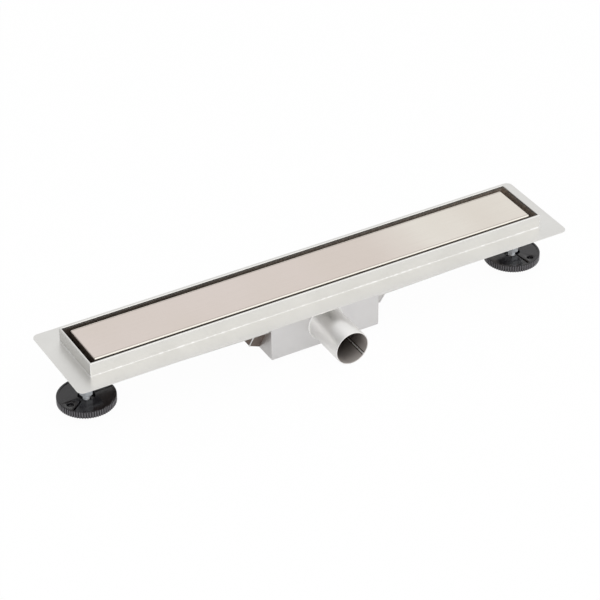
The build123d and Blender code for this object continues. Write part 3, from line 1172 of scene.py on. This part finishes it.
def thread_tree() -> Tree:
    """Builds a screw thread round a shank: a ridge along a spiral, joined to the shank.

    Returns:
        A tree with the inputs Radius, Ridge, Turns, Length, Base and Material.
    """
    tree, start = new_geometry_tree(
        "screw_thread",
        {
            "Radius": "NodeSocketFloat", "Ridge": "NodeSocketFloat", "Turns": "NodeSocketFloat",
            "Length": "NodeSocketFloat", "Base": "NodeSocketVector",
            "Material": "NodeSocketMaterial",
        },
    )
    path = add_node(
        tree, "GeometryNodeCurveSpiral", {"Resolution": 24},
        {
            "Rotations": start.outputs["Turns"], "Start Radius": start.outputs["Radius"],
            "End Radius": start.outputs["Radius"], "Height": start.outputs["Length"],
        },
    )
    upright = add_node(
        tree, "GeometryNodeSetCurveNormal", {"mode": "Z_UP"}, {"Curve": path.outputs["Curve"]}
    )
    section = add_node(
        tree, "GeometryNodeCurvePrimitiveCircle", {"mode": "RADIUS", "Resolution": 4},
        {"Radius": start.outputs["Ridge"]},
    )
    ridge = add_node(
        tree, "GeometryNodeCurveToMesh", {"Fill Caps": True},
        {"Curve": upright.outputs["Curve"], "Profile Curve": section.outputs["Curve"]},
    )
    placed = add_node(
        tree, "GeometryNodeTransform", None,
        {"Geometry": ridge.outputs["Mesh"], "Translation": start.outputs["Base"]},
    )
    whole = add_node(tree, "GeometryNodeJoinGeometry")
    tree.links.new(placed.outputs["Geometry"], whole.inputs["Geometry"])
    tree.links.new(start.outputs["Geometry"], whole.inputs["Geometry"])
    return end_geometry_tree(tree, start, whole.outputs["Geometry"])


@dataclass
class Sheetwork:
    """The folded and welded sheet: channel, trap box, chutes, brackets and inner pieces."""

    shop: Workshop
    strap_edge: float = 0.25 * MM
    trough_half: float = 351.2 * MM
    trough_half_width: float = 45.7 * MM
    trough_seam_top: float = -21 * MM
    trough_seam_bottom: float = -40.6 * MM
    trough_bead: tuple[float, float] = (1.5 * MM, 0.9 * MM)
    chute_end: float = 104 * MM
    chute_top: tuple[float, float] = (38.3 * MM, -46.2 * MM)
    chute_low: tuple[float, float] = (21.0 * MM, -76.2 * MM)
    chute_bead: tuple[float, float] = (1.7 * MM, 0.8 * MM)
    rim_corner: tuple[float, float] = (352.1 * MM, 46.6 * MM)
    rim_top: float = 1.3 * MM
    rim_foot: float = -17.7 * MM
    rim_bead: tuple[float, float] = (1.0 * MM, 0.45 * MM)
    tack: tuple[float, float] = (2.2 * MM, 0.5 * MM)

    def build(self) -> None:
        """Dresses the sheet nodes and adds their welds."""
        rack = self.shop.rack
        supports = [f"cover_support_{number}" for number in range(1, 5)]
        worn = [
            (rack.sheet, ["channel_body"]),
            (rack.skin, ["trap_box", "inlet_chute_right"]),
            # The left chute wears painted shade, as it sits in shadow under the trough
            (rack.tinted, ["inlet_chute_left"]),
            (rack.plate, ["cover_panel"]),
            (rack.mill, ["weir_plate", "trap_hood", "trap_handle", "hair_strainer", *supports]),
            (rack.rubber, ["trap_seal", "cover_buffers"]),
        ]
        for finish, nodes in worn:
            for node in nodes:
                self.shop.dress(node, finish)
        for side in Side:
            node = f"foot_bracket_{side.word}"
            piece = self.shop.eased_copy(node, f"foot_strap_{side.word}", self.strap_edge)
            self.shop.fit(piece, rack.zinc, CHANNEL, Slot.ZINC, node)
        by_side = [(along, across) for across in (-1, 1) for along in (-1, 1)]
        by_end = [(along, across) for along in (-1, 1) for across in (-1, 1)]
        self.seams("trough_corner_welds", self.trough_seam, by_side, self.trough_bead)
        self.seams("chute_welds", self.chute_seam, by_end, self.chute_bead)
        # The rim's corner welds carry the weld's near-white painted highlight
        self.seams("rim_corner_welds", self.rim_seam, by_side, self.rim_bead)

    def seams(
        self,
        name: str,
        seam: Callable[[int, int], list[list[Point]]],
        corners: Sequence[tuple[int, int]],
        bead: tuple[float, float],
    ) -> None:
        """Welds the four like corners of a piece.

        Args:
            name: The beads' name.
            seam: Gives the paths at a corner from its signs along X and across Y.
            corners: Those signs, in the order in which the ripples are drawn.
            bead: The bead's thickness, and the distance from one ripple to the next.
        """
        paths = [(path, False) for corner in corners for path in seam(*corner)]
        piece = self.shop.bead(name, paths, *bead)
        self.shop.fit(piece, self.shop.rack.weld, CHANNEL, Slot.CHANNEL)

    def trough_seam(self, along: int, across: int) -> list[list[Point]]:
        """Gives the upright seam under the flange at a corner of the trough."""
        x, y = along * self.trough_half, across * self.trough_half_width
        return [[(x, y, self.trough_seam_top), (x, y, self.trough_seam_bottom)]]

    def chute_seam(self, along: int, across: int) -> list[list[Point]]:
        """Gives the seam along a slanted edge of a chute's end plate."""
        ends = (self.chute_top, self.chute_low)
        return [[(along * self.chute_end, across * half, level) for half, level in ends]]

    def rim_seam(self, along: int, across: int) -> list[list[Point]]:
        """Gives the rim's upright seam, ground nearly smooth, and the tack at its foot.

        Args:
            along: The corner's sign along X.
            across: Its sign across Y.

        Returns:
            The seam's path and the tack's.
        """
        x, y = along * self.rim_corner[0], across * self.rim_corner[1]
        foot = (x, y, self.rim_foot)
        start = (x - along * self.tack[0], y + across * self.tack[1], self.rim_foot)
        return [[(x, y, self.rim_top), foot], [start, foot]]


@dataclass
class OutletTube:
    """The outlet stub: rolled and seam-welded tube, with the weld round its root."""

    shop: Workshop
    radius: float = 25.0 * MM
    bore: float = 23.5 * MM
    front: float = -49.5 * MM
    length: float = 70.5 * MM
    level: float = -56.0 * MM
    lip: float = 0.4 * MM
    steps: int = 128
    # The inner seam, and the two lines of oxide that stay in sight beside it
    seam_deg: float = 130.5
    seam_width: float = 2.3 * MM
    seam_sunk: float = 0.15
    seam_pitch: float = 0.7 * MM
    seam_ends: tuple[float, float] = (2 * MM, 69.3 * MM)
    oxide_half_deg: float = 5.6
    oxide_skin: float = 0.08 * MM
    # The weld round the root
    root_width: float = 1.7 * MM
    root_pitch: float = 0.8 * MM
    root_off: float = 0.4 * MM
    root_spread: float = 2.2 * MM
    root_steps: int = 120

    def build(self) -> None:
        """Builds the tube, its inner seam and the weld round its root."""
        rack = self.shop.rack
        mesh = lathe("outlet_tube", self.wall(), self.place, even_angles(self.steps))
        self.add(add_object("outlet_tube", smoothed(mesh)), rack.tube)
        low, high = self.bore - self.oxide_skin, self.bore + self.lip
        start, end = self.seam_ends
        skin = [(high, start), (low, start), (low, end), (high, end)]
        first, last = self.seam_deg - self.oxide_half_deg, self.seam_deg + self.oxide_half_deg
        turn = angles_between(first, last, 1.0)
        mesh = lathe("outlet_oxide_lines", skin, self.place, turn, whole=False)
        self.add(add_object("outlet_oxide_lines", mesh), rack.oxide)
        angle = math.radians(self.seam_deg)
        crest = self.bore - self.seam_sunk * self.seam_width
        line = [self.place(crest, angle, height) for height in self.seam_ends]
        width, pitch = self.seam_width, self.seam_pitch
        self.add(self.shop.bead("outlet_inner_seam", [(line, False)], width, pitch), rack.weld)
        reach = self.radius + self.root_spread
        ring = [self.place(reach, angle, self.root_off) for angle in even_angles(self.root_steps)]
        width, pitch = self.root_width, self.root_pitch
        self.add(self.shop.bead("outlet_root_weld", [(ring, True)], width, pitch), rack.weld)

    def add(self, piece: bpy.types.Object, finish: Finish) -> None:
        """Fits one of the pieces that stand for the outlet's node."""
        self.shop.fit(piece, finish, CHANNEL, Slot.CHANNEL, "outlet_spigot")

    def place(self, radius: float, angle: float, height: float) -> Point:
        """Puts a point of the tube in space; the angle runs from the top towards +X."""
        across, up = radius * math.sin(angle), radius * math.cos(angle)
        return (across, self.front - height, self.level + up)

    def wall(self) -> list[tuple[float, float]]:
        """Shapes the tube's wall.

        Returns:
            Radius and height of the bore, rounded lip, outside and the swell at its root.
        """
        end, lip, swell = self.length, self.lip, self.root_spread
        return [
            (self.bore, 0.0),
            (self.bore, 0.5 * end),
            (self.bore, end - lip),
            (self.bore + 0.3 * lip, end - 0.3 * lip),
            (self.bore + lip, end),
            (self.radius - lip, end),
            (self.radius - 0.3 * lip, end - 0.3 * lip),
            (self.radius, end - lip),
            (self.radius, 0.5 * end),
            (self.radius, swell),
            (self.radius + 0.3 * swell, 0.3 * swell),
            (self.radius + swell, 0.0),
        ]


@dataclass
class LevellingFeet:
    """Threaded studs, nuts, washers and fluted pads."""

    shop: Workshop
    reach: float = 340 * MM
    nut_edge: float = 0.3 * MM
    base: float = -91.7 * MM
    head_radius: float = 8.0 * MM
    head_height: float = 2.0 * MM
    head_edge: float = 0.3 * MM
    core: float = 4.4 * MM
    crest: float = 5.0 * MM
    pitch: float = 1.5 * MM
    tip: float = -44.5 * MM
    tip_chamfer: float = 1.0 * MM
    stud_steps: int = 32
    pad_edge: float = 0.22 * MM
    deck: float = -83.0 * MM
    deck_under: float = -88.3 * MM
    deck_inside: float = 12.0 * MM
    deck_outside: float = 37.7 * MM
    deck_edge: float = 0.25 * MM
    land_half_deg: float = 16.8
    pad_turn: dict[Side, float] = field(
        default_factory=lambda: {Side.LEFT: 19.0, Side.RIGHT: -63.0}
    )
    # The slot beside each land: its width in degrees before and after the land
    slots: dict[Side, tuple[float, float]] = field(
        default_factory=lambda: {Side.LEFT: (0.0, 4.0), Side.RIGHT: (6.0, 0.0)}
    )

    def build(self) -> None:
        """Builds both feet."""
        zinc = self.shop.rack.zinc
        for side in Side:
            for level in ("lower", "upper"):
                self.shop.dress(f"{level}_washer_{side.word}", zinc)
                node = f"{level}_nut_{side.word}"
                nut = self.shop.eased_copy(node, f"{level}_hex_nut_{side.word}", self.nut_edge)
                self.shop.fit(nut, zinc, CHANNEL, Slot.ZINC, node)
            self.stud(side)
            self.pad(side)

    def placer(self, side: Side) -> Callable[[float, float, float], Point]:
        """Makes the function that puts a point of a foot in space.

        Args:
            side: The foot.

        Returns:
            A function of radius, angle and height.
        """
        middle = side.value * self.reach

        def place(radius: float, angle: float, height: float) -> Point:
            """Puts one point in space."""
            return (middle + radius * math.cos(angle), radius * math.sin(angle), height)

        return place

    def pad(self, side: Side) -> None:
        """Builds a pad: the moulded body, and the decks that its ribs carry between its lands.

        Args:
            side: The foot that it belongs to.
        """
        node = f"foot_pad_{side.word}"
        piece = self.shop.eased_copy(node, f"fluted_pad_{side.word}", self.pad_edge, 1)
        before, after = self.slots[side]
        profile = [
            (self.deck_inside, self.deck_under),
            (self.deck_inside, self.deck - self.deck_edge),
            (self.deck_inside + self.deck_edge, self.deck),
            (self.deck_outside, self.deck),
            (self.deck_outside, self.deck_under),
        ]
        work = bmesh.new()
        work.from_mesh(piece.data)
        for half_turn in (0.0, 180.0):
            land = self.pad_turn[side] + half_turn
            start = land + self.land_half_deg + after
            end = land + 180 - self.land_half_deg - before
            turn = angles_between(start, end)
            deck = lathe("deck", profile, self.placer(side), turn, whole=False)
            work.from_mesh(deck)
            bpy.data.meshes.remove(deck)
        work.to_mesh(piece.data)
        work.free()
        smoothed(piece.data)
        self.shop.fit(piece, self.shop.rack.plastic, side.body, Slot.PAD, node)

    def stud(self, side: Side) -> None:
        """Builds a stud with a real thread.

        Args:
            side: The foot that it belongs to.
        """
        edge = self.head_edge
        neck = self.base + self.head_height
        profile = [
            (0.0, self.base), (self.head_radius - edge, self.base),
            (self.head_radius, self.base + edge), (self.head_radius, neck - edge),
            (self.head_radius - edge, neck), (self.core, neck),
            (self.core, self.tip - self.tip_chamfer), (self.core - self.tip_chamfer, self.tip),
            (0.0, self.tip),
        ]
        name = f"threaded_stud_{side.word}"
        place = self.placer(side)
        piece = add_object(
            name, smoothed(lathe(name, profile, place, even_angles(self.stud_steps)))
        )
        if self.shop.thread_tree is None:
            self.shop.thread_tree = thread_tree()
        cut = piece.modifiers.new("thread", "NODES")
        cut.node_group = self.shop.thread_tree
        ridge = self.crest - self.core
        start = neck + ridge
        length = self.tip - self.tip_chamfer - ridge - start
        zinc = self.shop.rack.zinc
        values = {
            "Radius": self.core, "Ridge": ridge, "Turns": length / self.pitch, "Length": length,
            "Base": place(0.0, 0.0, start), "Material": self.shop.rack.get(zinc),
        }
        set_inputs(cut, values)
        piece = baked(piece)
        smoothed(piece.data)
        self.shop.fit(piece, zinc, side.body, Slot.ZINC, f"levelling_bolt_{side.word}")


@dataclass(frozen=True)
class Lamp:
    """A soft square lamp that points at the drain."""

    name: str
    place: Point
    size: float
    watts: float

    def hang(self) -> None:
        """Adds the lamp to the scene."""
        data = bpy.data.lights.new(self.name, "AREA")
        data.shape = "SQUARE"
        data.size = self.size
        data.energy = self.watts
        lamp = add_object(self.name, data)
        lamp.location = self.place
        lamp.rotation_euler = (-Vector(self.place)).to_track_quat("-Z", "Y").to_euler()


@dataclass
class Studio:
    """White floor, soft tent and lamps, and the camera that took the picture."""

    distance: float = 3293.85 * MM
    azimuth_deg: float = 29.6465
    pitch_deg: float = 34.8191
    roll_deg: float = -0.3959
    sideways: float = -10.602 * MM
    upwards: float = -41.637 * MM
    rim_level: float = 2.0 * MM
    focal_mm: float = 144.605
    sensor_mm: float = 36.0
    floor_half: float = 12.0
    # Clear of the feet at their full reach, so that no pose sinks into the floor
    floor_drop: float = 11.5 * MM
    floor_colour: float = 0.92
    floor_white_seen: float = 0.97
    floor_white_mirrored: float = 0.35
    lamps: tuple[Lamp, ...] = (
        Lamp("key_lamp", (-1.1, -2.3, 3.1), 2.4, 22.0),
        Lamp("side_lamp", (-2.3, -1.6, 0.40), 1.5, 11.0),
    )
    tent_level: float = 0.90
    left_loss: float = 0.50
    left_fade: tuple[float, float] = (-0.9, 0.1)
    soft_box: Point = (0.28, -0.72, 0.64)
    soft_box_edge: tuple[float, float] = (0.55, 0.92)
    soft_box_gain: float = 0.42

    def build(self) -> None:
        """Makes the camera, floor, lamps and tent."""
        self.camera()
        self.floor()
        for lamp in self.lamps:
            lamp.hang()
        self.tent()
        bpy.context.scene.view_settings.view_transform = "Standard"

    def camera(self) -> None:
        """Places the camera at the photograph's viewing angle."""
        pitch = math.radians(self.pitch_deg)
        azimuth = math.radians(self.azimuth_deg)
        roll = math.radians(self.roll_deg)
        level = math.cos(pitch)
        ahead = Vector((math.sin(azimuth) * level, math.cos(azimuth) * level, -math.sin(pitch)))
        right = Vector((math.cos(azimuth), -math.sin(azimuth), 0.0))
        up = right.cross(ahead)
        aim = Vector((0.0, 0.0, self.rim_level))
        place = aim - ahead * self.distance + right * self.sideways + up * self.upwards
        rolled_right = right * math.cos(roll) + up * math.sin(roll)
        rolled_up = up * math.cos(roll) - right * math.sin(roll)
        data = bpy.data.cameras.new("camera")
        data.sensor_width = self.sensor_mm
        data.lens = self.focal_mm
        camera = add_object("camera", data)
        turn = Matrix((rolled_right, rolled_up, -ahead)).transposed().to_4x4()
        camera.matrix_world = Matrix.Translation(place) @ turn
        bpy.context.scene.camera = camera

    def floor(self) -> None:
        """Lays a white floor that a camera and gloss see as the white background."""
        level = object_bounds()[0][2] - self.floor_drop
        half = self.floor_half
        mesh = bpy.data.meshes.new("floor")
        signs = ((-1, -1), (1, -1), (1, 1), (-1, 1))
        mesh.from_pydata([(x * half, y * half, level) for x, y in signs], [], [(0, 1, 2, 3)])
        floor = add_object("floor", mesh)
        paint = bpy.data.materials.new("white_floor")
        paint.use_nodes = True
        tree = paint.node_tree
        tree.nodes.clear()
        grey = self.floor_colour
        matt = add_node(tree, "ShaderNodeBsdfDiffuse", {"Color": (grey, grey, grey, 1.0)})
        glow = add_node(
            tree, "ShaderNodeEmission", {"Color": (1.0, 1.0, 1.0, 1.0), "Strength": 1.0}
        )
        ray = add_node(tree, "ShaderNodeLightPath")
        seen = add_node(
            tree, "ShaderNodeMath", {"operation": "MULTIPLY", 1: self.floor_white_seen},
            {0: ray.outputs["Is Camera Ray"]},
        )
        share = add_node(
            tree, "ShaderNodeMath", {"operation": "MULTIPLY_ADD", 1: self.floor_white_mirrored},
            {0: ray.outputs["Is Glossy Ray"], 2: seen.outputs["Value"]},
        )
        mixed = add_node(
            tree, "ShaderNodeMixShader", None,
            {0: share.outputs["Value"], 1: matt.outputs["BSDF"], 2: glow.outputs["Emission"]},
        )
        add_node(tree, "ShaderNodeOutputMaterial", None, {"Surface": mixed.outputs["Shader"]})
        mesh.materials.append(paint)
        floor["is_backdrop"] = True

    def tent(self) -> None:
        """Surrounds the drain with a soft tent, brighter in front and dimmer on the left."""
        world = bpy.data.worlds.new("studio_tent")
        world.use_nodes = True
        bpy.context.scene.world = world
        tree = world.node_tree
        tree.nodes.clear()
        way = add_node(tree, "ShaderNodeTexCoord").outputs["Generated"]
        parts = add_node(tree, "ShaderNodeSeparateXYZ", None, {"Vector": way})
        dimmest, full = self.left_fade
        side = add_node(
            tree, "ShaderNodeMapRange",
            {
                "interpolation_type": "SMOOTHSTEP", "From Min": dimmest, "From Max": full,
                "To Min": self.tent_level - self.left_loss, "To Max": self.tent_level,
            },
            {"Value": parts.outputs["X"]},
        )
        aim = tuple(Vector(self.soft_box).normalized())
        facing = add_node(
            tree, "ShaderNodeVectorMath", {"operation": "DOT_PRODUCT", 1: aim}, {0: way}
        )
        edge, core = self.soft_box_edge
        box = add_node(
            tree, "ShaderNodeMapRange",
            {
                "interpolation_type": "SMOOTHSTEP", "From Min": edge, "From Max": core,
                "To Max": self.soft_box_gain,
            },
            {"Value": facing.outputs["Value"]},
        )
        level = add_node(
            tree, "ShaderNodeMath", {"operation": "ADD"},
            {0: side.outputs["Result"], 1: box.outputs["Result"]},
        )
        ray = add_node(tree, "ShaderNodeLightPath")
        cloth = add_node(
            tree, "ShaderNodeBackground", {"Color": (1.0, 1.0, 1.0, 1.0)},
            {"Strength": level.outputs["Value"]},
        )
        white = add_node(
            tree, "ShaderNodeBackground", {"Color": (1.0, 1.0, 1.0, 1.0), "Strength": 1.0}
        )
        mixed = add_node(
            tree, "ShaderNodeMixShader", None,
            {
                0: ray.outputs["Is Camera Ray"], 1: cloth.outputs["Background"],
                2: white.outputs["Background"],
            },
        )
        add_node(tree, "ShaderNodeOutputWorld", None, {"Surface": mixed.outputs["Shader"]})


def main() -> None:
    """Dresses the frame, adds the fine pieces and sets the studio."""
    logging.basicConfig(level=logging.INFO, format="%(name)s: %(message)s")
    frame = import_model()
    shop = Workshop(frame, FinishRack())
    Sheetwork(shop).build()
    OutletTube(shop).build()
    LevellingFeet(shop).build()
    Studio().build()


if __name__ == "__main__":
    main()
